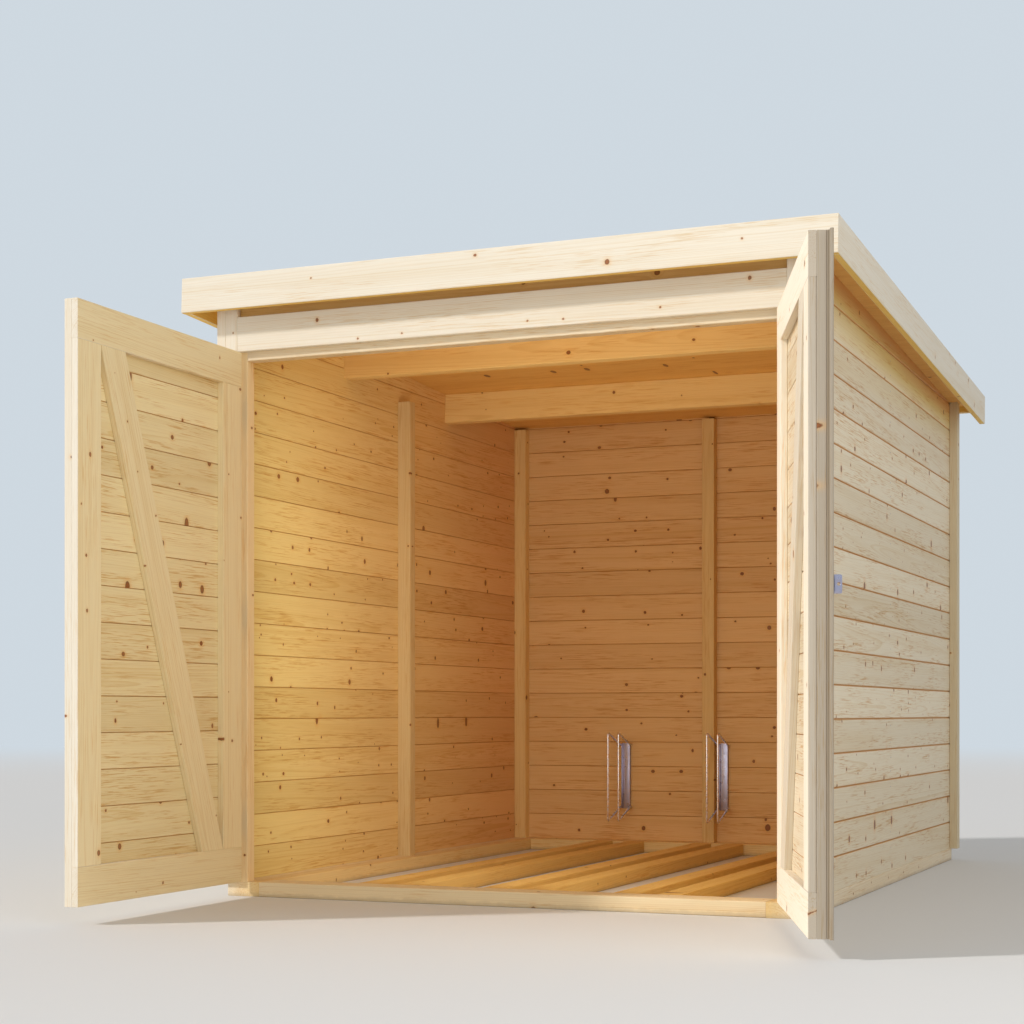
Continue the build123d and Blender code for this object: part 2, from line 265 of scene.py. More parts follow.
makeStudio(studioLook)
for name, look in lampLooks.items():
    softLamp(name + "Light", **look)
print("camera and studio ready")


# Shader groups for timber. "Place" is a point in the log: along the grain, then two ways across
# it, in metres from the heart of the tree, so the figure runs through edges and end grain.

knotLook = {"cellLength": 0.120, "cellTurn": 0.50, "squash": 0.82, "ragged": 260.0, "raggedBy": 0.0022,
            "fullSizeFrom": 0.07, "largest": 1.6, "halo": 1.7, "bend": 1.1}


def knotGroup(look):
    tree, given, out = newGroup("Knots", {"Place": "Vector", **floats("Share", "Small", "Large")},
                                floats("Knot", "Rim", "Halo", "Shift"))
    along, across, depth = partsOf(given["Place"])
    radius = hypotenuse(across, depth)
    turn = calc("DIVIDE", calc("ARCTAN2", depth, across), look["cellTurn"])
    cell = combine(calc("DIVIDE", along, look["cellLength"]), turn, 0.0)
    spots = cells(cell, 1.0, randomness=0.95, voronoi_dimensions="2D", feature="F1")
    away = partsOf(vectorCalc("SUBTRACT", cell, spots["Position"])[0])
    distance = hypotenuse(times(away[0], look["cellLength"] * look["squash"]),
                          times(away[1], look["cellTurn"], radius))
    distance = plus(distance, calc("SUBTRACT", noise(given["Place"], look["ragged"]), 0.5), look["raggedBy"])
    chance, growth, strength = partsOf(spots["Color"])
    size = plus(given["Small"], calc("POWER", growth, 1.8), calc("SUBTRACT", given["Large"], given["Small"]))
    size = times(size, calc("MINIMUM", calc("DIVIDE", radius, look["fullSizeFrom"]), look["largest"]))
    kept = times(calc("LESS_THAN", chance, given["Share"]), ramp(strength, 0.20, 0.60, 0.88, 1.0))
    ratio = calc("DIVIDE", distance, size)
    spread = calc("EXPONENT", times(calc("POWER", calc("DIVIDE", ratio, look["halo"]), 2.0), -1.0))
    halo = times(spread, kept)
    plug(out, {"Knot": times(ramp(ratio, 1.12, 0.82), kept), "Halo": halo,
               "Rim": times(ramp(ratio, 1.25, 1.0), ramp(ratio, 0.55, 0.95), kept),
               "Shift": times(halo, size, look["bend"])})
    return tree


def grainGroup():
    tree, given, out = newGroup("Growth rings", {"Place": "Vector", **floats("Shift", "Ring gap", "Wander")},
                                floats("Late wood", "Fibre", "Broad", "Streak"))

    def drawnOut(along, across, detail=2.0, roughness=0.5):
        # Noise with so many marks to the metre along the grain and across it.
        return noise(vectorCalc("MULTIPLY", given["Place"], (along, across, across))[0], 1.0, detail, roughness)

    along, across, depth = partsOf(given["Place"])
    radius = calc("ADD", hypotenuse(across, depth), given["Shift"])
    radius = plus(radius, calc("SUBTRACT", drawnOut(1.3, 9.0, 2.5), 0.5), given["Wander"])
    phase = calc("DIVIDE", radius, given["Ring gap"])
    phase = plus(phase, noise(combine(phase, 0.0, 0.0), 0.37, 1.0), 2.4)
    part = calc("FRACT", phase)
    strength = follow("ShaderNodeTexWhiteNoise", {"W": calc("FLOOR", phase)}, noise_dimensions="1D")[0]
    late = times(ramp(part, 0.38, 0.90), ramp(part, 1.0, 0.93), plus(0.2, calc("POWER", strength, 1.6), 0.8))
    patches = ramp(drawnOut(3.0, 22.0), 0.40, 0.62, 0.10, 1.0)
    streak = times(ramp(drawnOut(11.0, 330.0, 3.0, 0.6), 0.50, 0.65), patches)
    plug(out, {"Late wood": late, "Fibre": drawnOut(7.0, 820.0, 3.0, 0.6), "Broad": drawnOut(0.9, 26.0),
               "Streak": streak})
    return tree


def soilGroup():
    # A little dust and splashed soil near the ground, fading upwards.
    tree, given, out = newGroup(
        "Ground soil", {"Colour": "Color", "Soil colour": "Color", **floats("Height", "Amount")}, {"Colour": "Color"})
    place = objectPlace(tree)
    reach = times(given["Height"], plus(0.2, noise(place, 38.0, 4.0, 0.65), 1.6))
    low = calc("SUBTRACT", 1.0, calc("DIVIDE", partsOf(place)[2], reach), clamp=True)
    plug(out, {"Colour": mix(times(low, given["Amount"]), given["Colour"], given["Soil colour"])})
    return tree


def zincGroup():
    # Bright zinc plating: faint crystals, fine drawing lines and a few dull patches.
    tree, given, out = newGroup("Zinc plating", floats("Crystal size", "Dullness"),
                                floats("Tone", "Roughness", "Height"))
    place = objectPlace(tree)
    crystals = cells(place, calc("DIVIDE", 1.0, given["Crystal size"]))
    patches = noise(place, 60.0, 4.0, 0.6)
    lines = noise(vectorCalc("MULTIPLY", place, (900.0, 900.0, 25.0))[0], 1.0)
    plug(out, {"Tone": plus(plus(times(patches, 0.22), partsOf(crystals["Color"])[0], 0.10), lines, 0.10),
               "Roughness": plus(plus(given["Dullness"], patches, 0.28), lines, 0.08), "Height": lines})
    return tree


groups = {"knots": knotGroup(knotLook), "grain": grainGroup(), "soil": soilGroup(), "zinc": zincGroup()}

# Per timber: inside and outside are one wood, painted warm as shade lit by bounce light and pale as lit; the deep
# golden colour and the aged grey colour are painted shade
timberLooks = {"frameTimber": {
    "inside": (0.86, 0.645, 0.33), "outside": (0.86, 0.73, 0.53), "deep": (0.88, 0.57, 0.17),
    "aged": (0.60, 0.545, 0.44), "lateTint": (0.79, 0.63, 0.40), "lateAmount": 0.50, "broadAmount": 0.24,
    "toneRange": 0.09, "streak": (0.82, 0.62, 0.38), "streakAmount": 0.65, "joint": (0.50, 0.22, 0.06),
    "knot": (0.24, 0.058, 0.010), "rim": (0.12, 0.030, 0.006), "halo": (0.76, 0.41, 0.11), "share": 0.24,
    "small": 0.0015, "large": 0.0046, "ringGap": 0.0034, "wander": 0.012,
}}
timberLooks["wallBoards"] = timberLooks["frameTimber"] | {
    "inside": (0.87, 0.70, 0.28), "outside": (0.87, 0.755, 0.56), "deep": (0.86, 0.50, 0.23),
    "lateTint": (0.81, 0.66, 0.42), "broadAmount": 0.26, "toneRange": 0.12, "streak": (0.76, 0.52, 0.27),
    "streakAmount": 0.78, "joint": (0.68, 0.31, 0.062), "knot": (0.22, 0.050, 0.009), "rim": (0.11, 0.025, 0.005),
    "halo": (0.78, 0.38, 0.09), "share": 0.34, "small": 0.0019, "large": 0.0050, "wander": 0.010,
}
timberLooks["planedTrim"] = timberLooks["frameTimber"] | {
    "inside": (0.88, 0.73, 0.43), "outside": (0.885, 0.805, 0.665), "deep": (0.88, 0.57, 0.11),
    "aged": (0.46, 0.395, 0.31), "lateTint": (0.81, 0.67, 0.44), "lateAmount": 0.48, "broadAmount": 0.20,
    "toneRange": 0.07, "streak": (0.85, 0.68, 0.46), "streakAmount": 0.60, "knot": (0.28, 0.070, 0.012),
    "rim": (0.14, 0.035, 0.008), "halo": (0.80, 0.45, 0.14), "share": 0.20, "large": 0.0044, "ringGap": 0.0036,
    "wander": 0.010,
}
timberLooks["roofSheets"] = timberLooks["wallBoards"] | {"deep": (0.88, 0.52, 0.15)}
soilLook = {"Soil colour": (0.30, 0.22, 0.14), "Height": 0.014, "Amount": 0.45}
# The wire zinc is paler, a painted reflection of bright surroundings; the plate zinc is darker and bluer, painted
# shade against the warm light inside
steelLooks = {
    "galvanisedSteel": {"bright": (0.54, 0.52, 0.64), "dark": (0.32, 0.30, 0.40), "crystal": 0.004, "dullness": 0.13},
    "brightWire": {"bright": (0.97, 0.95, 0.98), "dark": (0.80, 0.77, 0.84), "crystal": 0.003, "dullness": 0.10},
}
feltLook = {"dark": (0.020, 0.021, 0.024), "light": (0.115, 0.118, 0.125), "chips": 1400.0 / 3.0}


def timberMaterial(name, look):
    material, tree, shader = newMaterial(name)
    place, marks = (addNode(tree, "ShaderNodeAttribute", attribute_name=layer).outputs["Vector"]
                    for layer in ("grainPlace", "boardMarks"))
    tone, joint, openAir = partsOf(marks)
    knots = useGroup(tree, "knots", {"Place": place, "Share": look["share"], "Small": look["small"],
                                     "Large": look["large"]})
    grain = useGroup(tree, "grain", {"Place": place, "Shift": knots["Shift"], "Ring gap": look["ringGap"],
                                     "Wander": look["wander"]})
    # Painted light and shade: the corner's mark picks between the pale lit colour, the warm shaded inside colour, the
    # deep golden shade and the grey shade; the tone is partly painted shade too
    colour = mix(openAir, look["inside"], look["outside"])
    colour = mix(times(openAir, -1.0), colour, look["deep"])
    colour = mix(calc("SUBTRACT", openAir, 1.0), colour, look["aged"])
    warm = times(grain["Late wood"], look["lateAmount"])
    warm = plus(warm, ramp(grain["Broad"], 0.42, 0.72), look["broadAmount"])
    warm = plus(warm, tone, look["toneRange"], clamp=True)
    colour = mix(warm, colour, look["lateTint"], "MULTIPLY")
    colour = mix(times(grain["Streak"], look["streakAmount"]), colour, look["streak"], "MULTIPLY")
    fibre = times(plus(0.92, grain["Fibre"], 0.16), plus(1.0, tone, -0.06))
    colour = mix(1.0, colour, combine(fibre, fibre, fibre), "MULTIPLY")
    for amount, share, tint in ((knots["Halo"], 0.70, "halo"), (knots["Knot"], 0.88, "knot"),
                                (knots["Rim"], 0.60, "rim"), (ramp(joint, 0.05, 0.60), 0.85, "joint")):
        colour = mix(times(amount, share), colour, look[tint])
    colour = useGroup(tree, "soil", {"Colour": colour, **soilLook})["Colour"]
    rough = plus(plus(0.50, grain["Fibre"], 0.22), knots["Knot"], -0.12)
    plug(shader.inputs, {"Base Color": colour, "Roughness": rough, "Specular IOR Level": 0.35,
                         "Normal": bump(grain["Fibre"], 0.35, 0.0002)})
    return material


def steelMaterial(name, look):
    material, tree, shader = newMaterial(name)
    zinc = useGroup(tree, "zinc", {"Crystal size": look["crystal"], "Dullness": look["dullness"]})
    plug(shader.inputs, {"Base Color": mix(zinc["Tone"], look["bright"], look["dark"]), "Metallic": 1.0,
                         "Roughness": zinc["Roughness"], "Normal": bump(zinc["Height"], 0.15, 0.0001)})
    return material


def feltMaterial(name, look):
    material, tree, shader = newMaterial(name)
    place = objectPlace(tree)
    chips = cells(place, look["chips"])
    chip = partsOf(chips["Color"])[0]
    tone = plus(times(noise(place, 5.0, 5.0, 0.6), 0.4), chip, 0.6)
    plug(shader.inputs, {"Base Color": mix(tone, look["dark"], look["light"]), "Roughness": plus(0.78, chip, 0.15),
                         "Normal": bump(chips["Distance"], 0.6, 0.0008)})
    return material


materials = {name: timberMaterial(name, look) for name, look in timberLooks.items()}
materials.update({name: steelMaterial(name, look) for name, look in steelLooks.items()})
materials["roofingFelt"] = feltMaterial("roofingFelt", feltLook)
slotMaterials = {"wall_boards": "wallBoards", "planed_trim": "planedTrim", "frame_timber": "frameTimber",
                 "galvanised_steel": "galvanisedSteel", "roofing_felt": "roofingFelt"}
print("materials ready")


# Places of the frame, in metres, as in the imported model

frontFace = -0.044
shelterDepth = 2.091
baseTop = 0.040
roofHeight = 1.6649
roofSlope = math.radians(2.5)
roofFall = math.tan(roofSlope)
wallInside, halfWidth = 0.797, 0.811
roofFrame = Matrix.Translation((0, frontFace, roofHeight)) @ Matrix.Rotation(-roofSlope, 4, "X")
hingeX, hingeY = 0.771, frontFace - 0.0255
doorBottom, doorTop = 0.043, 1.495
unmoved = Matrix.Identity(4)
axes = {"X": Vector((1, 0, 0)), "Y": Vector((0, 1, 0)), "Z": Vector((0, 0, 1))}
sides = ((-1, "left"), (1, "right"))


def swung(side, degrees):
    hinge = Matrix.Translation((side * hingeX, hingeY, 0))
    return hinge @ Matrix.Rotation(math.radians(degrees), 4, "Z") @ hinge.inverted()


mirrorAcross = Matrix.Diagonal((-1, 1, 1, 1))
leafTurn = {1: swung(1, 109.4), -1: swung(-1, -90.0)}
leafPlace = {1: leafTurn[1], -1: leafTurn[-1] @ mirrorAcross}
sidePlace = {1: unmoved, -1: mirrorAcross}


def fromFront(y):
    return frontFace + y


def underRoof(drop=0.0):
    # The plane under the roof boards, or a distance below them: a point on it and its normal.
    return roofFrame @ Vector((0, 0, -drop)), roofFrame.to_3x3() @ axes["Z"]


def columns(origin, along, up, outward):
    turn = Matrix((Vector(along), Vector(up), Vector(outward))).transposed().to_4x4()
    return Matrix.Translation(origin) @ turn


# Mesh tools

def vertsOf(parts):
    return [part for part in parts if isinstance(part, bmesh.types.BMVert)]


def edgesOf(parts):
    return [part for part in parts if isinstance(part, bmesh.types.BMEdge)]


def grainEdges(bm):
    runs = ((edge, edge.verts[1].co - edge.verts[0].co) for edge in bm.edges)
    return [edge for edge, run in runs if abs(run.x) > 0.9 * run.length]


def sharpEdges(bm):
    return [edge for edge in bm.edges if edge.calc_face_angle(0.0) > 0.9]


def roundEdges(bm, edges, radius, segments=2):
    bmesh.ops.bevel(bm, geom=edges, offset=radius, offset_type="OFFSET", segments=segments, profile=0.5,
                    affect="EDGES", clamp_overlap=True, material=-1)


def moved(bm, matrix):
    bmesh.ops.transform(bm, matrix=matrix, verts=bm.verts)
    if matrix.determinant() < 0:
        bmesh.ops.reverse_faces(bm, faces=bm.faces)
    return bm


def shift(bm, way):
    bmesh.ops.translate(bm, vec=way, verts=bm.verts)


def stretch(bm, size, centre):
    bmesh.ops.scale(bm, vec=size, verts=bm.verts)
    shift(bm, centre)
    return bm


def addBlock(bm, size, centre=(0, 0, 0)):
    bmesh.ops.create_cube(bm, size=1.0)
    stretch(bm, size, centre)


def pushOut(bm, faces, way):
    # Makes a solid of flat faces.
    grown = bmesh.ops.extrude_face_region(bm, geom=faces)["geom"]
    bmesh.ops.translate(bm, vec=way, verts=vertsOf(grown))
    bmesh.ops.recalc_face_normals(bm, faces=bm.faces)


def addProfile(bm, points, way):
    # Makes a solid of an outline.
    pushOut(bm, [bm.faces.new([bm.verts.new(point) for point in points])], way)


def cutOff(bm, toFrame, planes):
    # Takes off what lies beyond planes of the frame and closes the cuts.
    back = toFrame.inverted()
    for point, normal in planes:
        cut = bmesh.ops.bisect_plane(bm, geom=[*bm.verts, *bm.edges, *bm.faces], dist=1e-6, plane_co=back @ point,
                                     plane_no=back.to_3x3() @ normal, clear_outer=True, clear_inner=False)
        rim = edgesOf(cut["geom_cut"])
        if rim:
            bmesh.ops.edgeloop_fill(bm, edges=rim)


# Timber tools

def startTimber():
    bm = bmesh.new()
    bm.verts.layers.float_vector.new("grainPlace")
    bm.verts.layers.float_vector.new("boardMarks")    # tone, joint shade, painted light and shade
    return bm


def markGrain(bm, dice, openAir, shadeOf=None, grainOf=unmoved, darker=0.0):
    # Gives every corner its place in the log it was sawn from, its tone, and its joint shade and painted light and
    # shade.
    place = bm.verts.layers.float_vector["grainPlace"]
    marks = bm.verts.layers.float_vector["boardMarks"]
    tilt = Matrix.Rotation(dice.uniform(-0.016, 0.016), 3, "Z") @ Matrix.Rotation(dice.uniform(-0.013, 0.013), 3, "Y")
    heart = Vector((dice.uniform(1.5, 60.0), dice.uniform(-0.090, 0.090), dice.uniform(0.040, 0.095)))
    # A random tone around a painted shade tone: above 0 darker as shade, below 0 paler as lit
    tone = dice.gauss(darker, 0.5)
    flip = dice.choice((-1.0, 1.0))
    for vert in bm.verts:
        own = grainOf @ vert.co
        vert[place] = tilt @ Vector((own.x, flip * own.y, flip * own.z)) + heart
        vert[marks] = (tone, shadeOf(vert.co) if shadeOf else 0.0, openAir(vert.co))


# Painted light and shade of a corner: 1 is the pale outside colour, 0 the warmer inside colour painted as shade lit by
# bounce light, below 0 a deep golden painted shade, above 1 a greyer painted shade

def evenly(amount):
    return lambda corner: amount


# The warm inside colour is painted shade lit by bounce light; the outside colour is the pale lit wood
shadedInside, paleOutside = evenly(0.0), evenly(1.0)


def warmUnder(level, within):
    # Painted shade: the pale outside colour, but a deeper, golden colour on the underside and the inner side.
    return lambda corner: -0.9 if corner.z < level + 0.0006 or within(corner) else 1.0


def underEaves(corner):
    # The outside of a wall: painted shade, deep and golden in the corner under the roof, fading to the pale outside
    # colour from there down.
    below = roofHeight - (corner.y - frontFace) * roofFall - corner.z
    return min(1.0, -0.9 + 1.9 * below / 0.13)


def nearDoorway(corner):
    # The inside of a side wall: painted shade, straw yellow at the front and deeper towards the back, away from the
    # doorway.
    return -(corner.y - frontFace) / shelterDepth


def layTimber(bm, toFrame, dice, openAir, frameOf=unmoved, darker=0.0):
    # Takes a timber drawn along its own axes to its place.
    moved(bm, toFrame)
    markGrain(bm, dice, openAir, grainOf=toFrame.inverted(), darker=darker)
    return moved(bm, frameOf)


def timberBox(low, high, grain, dice, frameOf=unmoved, cuts=(), openAir=shadedInside, radius=0.002, darker=0.0):
    # One planed timber between two corners, its grain along the named axis.
    low, high = Vector(low), Vector(high)
    sizes = dict(zip("XYZ", high - low))
    wide, thin = sorted((name for name in "XYZ" if name != grain), key=lambda name: -sizes[name])
    toFrame = columns((low + high) / 2, axes[grain], axes[wide], axes[grain].cross(axes[wide]))
    bm = startTimber()
    addBlock(bm, (sizes[grain], sizes[wide], sizes[thin]))
    cutOff(bm, toFrame, cuts)
    roundEdges(bm, grainEdges(bm), radius)
    roundEdges(bm, list({edge for face in bm.faces if abs(face.normal.x) > 0.5 for edge in face.edges}), 0.0007, 1)
    return layTimber(bm, toFrame, dice, openAir, frameOf, darker)


def mirrored(side, low, high):
    if side > 0:
        return low, high
    return (-high[0], low[1], low[2]), (-low[0], high[1], high[2])


def both(low, high, grain, dice, **more):
    # The same timber on the right and, mirrored, on the left.
    return [timberBox(*mirrored(side, low, high), grain, dice, **more) for side in (1, -1)]


boardLook = {
    "pitch": 0.090,
    "gap": 0.0003,            # half the play between neighbours
    "outerGroove": (0.0035, 0.0040), "innerGroove": (0.0015, 0.0025),
    "tongue": 0.0055, "tongueSpan": (0.36, 0.62), "tongueEase": 0.0006, "slotDepth": 0.0065, "taper": 0.0002,
    "edgeRadius": 0.0009, "eavesShade": 0.17,
    "narrowest": 0.007,
    "shadeBelow": 0.0018, "shadeWithin": 0.0022,
}


def matchedBoard(length, width, thickness, dice, look, toFrame, plainBelow, plainAbove, cuts, innerPaintedLight, outerPaintedLight):
    # A tongued and grooved board: x along the grain, y up from its lower edge, z from inside to outside.
    gap, slotDepth, taper, ease = look["gap"], look["slotDepth"], look["taper"], look["tongueEase"]
    outWide, outDeep = look["outerGroove"]
    inWide, inDeep = look["innerGroove"]
    low, high = (share * thickness for share in look["tongueSpan"])
    top, tip = width - gap, width + look["tongue"]
    if plainBelow:
        outline = [(0.0, 0.0), (0.0, thickness)]
    else:
        outline = [(inWide, 0.0), (gap, inDeep), (gap, low - taper), (slotDepth, low), (slotDepth, high),
                   (gap, high + taper), (gap, thickness - outDeep), (outWide, thickness)]
    if plainAbove:
        outline += [(width, thickness), (width, 0.0)]
    else:
        outline += [(width - outWide, thickness), (top, thickness - outDeep), (top, high - taper), (tip, high - ease),
                    (tip, low + ease), (top, low + taper), (top, inDeep), (width - inWide, 0.0)]
    bm = startTimber()
    addProfile(bm, [(-length / 2, y - width / 2, z) for y, z in outline], (length, 0, 0))
    cutOff(bm, toFrame, cuts)
    roundEdges(bm, [edge for edge in grainEdges(bm)
                    if all(min(abs(v.co.z), abs(v.co.z - thickness)) < 1e-6 for v in edge.verts)], look["edgeRadius"])

    def grooveShade(corner):
        depth = min(corner.z, thickness - corner.z)
        if depth > look["shadeBelow"] and width / 2 - abs(corner.y) < look["shadeWithin"]:
            return 1.0
        # Painted shade: on the outer face the joint colour also darkens the boards in the corner under the eaves
        return look["eavesShade"] * (1.0 - outerPaintedLight(toFrame @ corner)) if corner.z > thickness / 2 else 0.0

    # Painted light and shade: the outer face and the inner face each get their own painted level
    def openAir(corner):
        return (outerPaintedLight if corner.z > thickness / 2 else innerPaintedLight)(toFrame @ corner)

    markGrain(bm, dice, openAir, grooveShade)
    return moved(bm, toFrame)


def boarding(length, height, thickness, firstJoint, dice, toFrame, cuts=(), look=boardLook, innerPaintedLight=shadedInside,
             outerPaintedLight=paleOutside):
    # Boards laid one on another: x along the grain, y up, z from inside to outside.
    edges, joint = [0.0], firstJoint
    while joint < height - look["narrowest"]:
        edges.append(joint)
        joint += look["pitch"]
    edges.append(height)
    return [matchedBoard(length, high - low, thickness, dice, look,
                         toFrame @ Matrix.Translation((0, (low + high) / 2, 0)),
                         low == 0.0, high == height, cuts, innerPaintedLight, outerPaintedLight) for low, high in zip(edges, edges[1:])]


# Finished pieces

def finishPiece(name, islands, body, slotName, *nodes, surface=None):
    whole = startTimber()
    for island in islands:
        passing = bpy.data.meshes.new("passing")
        island.to_mesh(passing)
        island.free()
        whole.from_mesh(passing)
        bpy.data.meshes.remove(passing)
    for face in whole.faces:
        face.smooth = slotName == "galvanised_steel"
    piece = solidObject(name, whole, materials[surface or slotMaterials[slotName]])
    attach(piece, body)
    if nodes:
        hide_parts(*nodes)


def addPiece(node, islands, slotName="frame_timber", body="shelter", name="", surface=None):
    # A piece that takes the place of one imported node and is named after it.
    first, *rest = node.split("_")
    name = name or first + "".join(word.title() for word in rest)
    finishPiece(name, islands, body, slotName, node, surface=surface)


# Base frame and wheel rails

# Painted light and shade of the base: outer faces pale, the front sill half way, hidden faces and the wheel rails in
# deep golden painted shade
baseLook = {"sideWidth": 0.098, "sillDepth": 0.088, "halfWidth": 0.814, "railWidth": 0.064, "railGap": 0.056,
            "centres": (-0.365, 0.006, 0.377), "arris": 0.0025, "railArris": 0.003, "sill": 0.5, "hidden": -0.3,
            "rail": -0.85}


def makeBase(look):
    dice = random.Random(11)
    inner, sill = look["halfWidth"] - look["sideWidth"], look["sillDepth"]
    for side, name in sides:
        ends = mirrored(side, (inner, frontFace, 0), (look["halfWidth"], fromFront(shelterDepth), baseTop))
        addPiece("base_side_" + name, [timberBox(
            *ends, "Y", dice, openAir=lambda corner: 1.0 if abs(corner.x) > 0.80 else look["hidden"],
            radius=look["arris"])])
    for start, name, air in ((0.0, "front", look["sill"]), (shelterDepth - sill, "rear", look["hidden"])):
        addPiece("base_sill_" + name, [timberBox(
            (-inner, fromFront(start), 0), (inner, fromFront(start + sill), baseTop), "X", dice,
            openAir=evenly(air), radius=look["arris"])])
    for number, centre in enumerate(look["centres"], 1):
        rails = []
        for side in (-1, 1):
            near = centre + side * look["railGap"] / 2
            left, right = sorted((near, near + side * look["railWidth"]))
            rails.append(timberBox((left, fromFront(sill), 0), (right, fromFront(shelterDepth - sill), baseTop), "Y",
                                   dice, openAir=evenly(look["rail"]), radius=look["railArris"]))
        addPiece("wheel_rails_%d" % number, rails)


makeBase(baseLook)
print("base and wheel rails made")


# Walls

# The rear wall's inner face is painted in deep golden shade
wallLook = {"thickness": 0.014, "firstJoint": 0.090, "rearExtra": 0.004, "rearAir": -0.72}


def makeWalls(look):
    height, thickness = roofHeight - baseTop, look["thickness"]
    rearHeight = height - shelterDepth * roofFall + look["rearExtra"]

    def wall(prefix, length, height, seed, place, innerPaintedLight):
        boards = boarding(length, height, thickness, look["firstJoint"], random.Random(seed), place, [underRoof()],
                          innerPaintedLight=innerPaintedLight, outerPaintedLight=underEaves)
        addPiece(prefix + "_wall", boards, "wall_boards", name=prefix + "WallBoards")

    for (side, prefix), seed in zip(sides, (21, 22)):
        middle = (side * wallInside, fromFront(shelterDepth / 2), baseTop)
        wall(prefix, shelterDepth, height, seed, columns(middle, (0, side, 0), axes["Z"], (side, 0, 0)), nearDoorway)
    place = columns((0, fromFront(shelterDepth - thickness), baseTop), (-1, 0, 0), axes["Z"], axes["Y"])
    wall("rear", 2 * wallInside, rearHeight, 23, place, evenly(look["rearAir"]))


makeWalls(wallLook)
print("walls boarded")


# Posts, head rail and roof beams

# Painted light and shade per timber: a level from the pale outside colour to the deep golden shade, and a tone shift,
# paler for the front posts and darker inside
frameLook = {"postInside": 0.752, "postDepth": 0.038, "purlinHeight": 0.098, "purlinRuns": (0.665, 1.417),
             "rear": 2.077, "rearPostDrop": 0.0996,
             "air": {"front": 0.25, "rear": -0.45, "centre": -0.4, "head": 0.9, "beam": -0.6},
             "darker": {"front": -2.0, "side": 2.0, "centre": 1.0}}


def makeFrame(look):
    dice = random.Random(31)
    inside, depth, rear = look["postInside"], look["postDepth"], look["rear"]
    air = {name: evenly(amount) for name, amount in look["air"].items()}
    darker = look["darker"]
    underBeam = underRoof(look["purlinHeight"])
    front = both((inside, frontFace, baseTop), (wallInside, fromFront(depth), roofHeight), "Z", dice,
                 cuts=[underBeam], openAir=air["front"], darker=darker["front"])
    back = both((inside, fromFront(rear - depth), baseTop),
                (wallInside, fromFront(rear), roofHeight - look["rearPostDrop"]), "Z", dice, openAir=air["rear"])
    addPiece("corner_posts", front + back)
    low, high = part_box("side_posts")
    addPiece("side_posts", both((inside, low.y, baseTop), (wallInside, high.y, high.z), "Z", dice,
                                darker=darker["side"]))
    low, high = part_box("rear_centre_post")
    addPiece("rear_centre_post", [timberBox(low, high, "Z", dice, openAir=air["centre"], darker=darker["centre"])])
    low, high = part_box("head_rail")
    addPiece("head_rail", [timberBox(low, (high.x, high.y, roofHeight), "X", dice, cuts=[underBeam],
                                     openAir=air["head"])])
    runs = (look["purlinHeight"] * math.sin(roofSlope),) + look["purlinRuns"]
    beams = [timberBox((-wallInside, run, -look["purlinHeight"]), (wallInside, run + depth, 0), "X", dice,
                       frameOf=roofFrame, openAir=air["beam"]) for run in runs]
    addPiece("front_purlin", beams[:1])
    addPiece("mid_purlins", beams[1:])


makeFrame(frameLook)
print("posts and beams made")


# Trim of the front and the corners: where each starts, its painted light level and its painted shade tone; the rear
# corner trims are painted into shade

trimLook = {"front_battens": (0.7735, 1.0, 0.0), "rear_battens": (0.7735, 1.0, 0.0),
            "front_corner_trims": (0.811, 1.0, 0.0), "rear_corner_trims": (0.811, 0.5, 2.5)}


def makeTrim(look):
    dice = random.Random(41)
    low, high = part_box("header_board")
    addPiece("header_board", [timberBox(low, high, "X", dice, openAir=paleOutside, radius=0.0022)], "planed_trim")
    for node, (inner, air, darker) in look.items():
        low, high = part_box(node)
        bars = both((inner, low.y, low.z), (high.x, high.y, roofHeight + 0.05), "Z", dice, cuts=[underRoof()],
                    openAir=evenly(air), darker=darker)
        addPiece(node, bars, "planed_trim")


makeTrim(trimLook)
print("trim made")


# Roof boards and fascias

roofLook = {
    "halfWidth": 0.896, "front": -0.058, "rear": 2.156, "deck": 0.016, "joints": (0.684, 1.436), "sheetArris": 0.0006,
    "fascia": 0.019, "fasciaHeight": 0.096, "fasciaRise": 0.035, "rearHeight": 0.037, "arris": 0.0025, "touch": 0.0006,
}


def makeRoof(look):
    dice = random.Random(51)
    half, front, rear, deck, touch = (look[key] for key in ("halfWidth", "front", "rear", "deck", "touch"))
    lines = (front,) + look["joints"] + (rear,)
    # The roof boards are painted deep golden all over, as painted shade on their underside
    addPiece("roof_deck", [timberBox((-half, near, 0), (half, far, deck), "X", dice, frameOf=roofFrame,
                                     openAir=evenly(-1.0), radius=look["sheetArris"])
                           for near, far in zip(lines, lines[1:])], "wall_boards", name="roofBoards",
             surface="roofSheets")
    rise = look["fasciaRise"]
    drop, rearDrop = rise - look["fasciaHeight"], deck - look["rearHeight"]
    edge, rearLine = half + look["fascia"], rear + look["fascia"]

    def fascias(make, low, high, grain, within):
        return make(low, high, grain, dice, frameOf=roofFrame, openAir=warmUnder(low[2], within), radius=look["arris"])

    bars = [fascias(timberBox, (-edge, front - look["fascia"], drop), (edge, front, rise), "X",
                    lambda corner: corner.y > front - touch),
            fascias(timberBox, (-half, rear, rearDrop), (half, rearLine, deck), "X",
                    lambda corner: corner.y < rear + touch),
            *fascias(both, (half, front, drop), (edge, rearLine, rise), "Y",
                     lambda corner: abs(corner.x) < half + touch)]
    for name, bar in zip(("front", "rear", "right", "left"), bars):
        addPiece(name + "_fascia", [bar], "planed_trim")


makeRoof(roofLook)
print("roof made")


# Doors, modelled closed and swung to the angles of the photograph; 1 is the right leaf, -1 the left

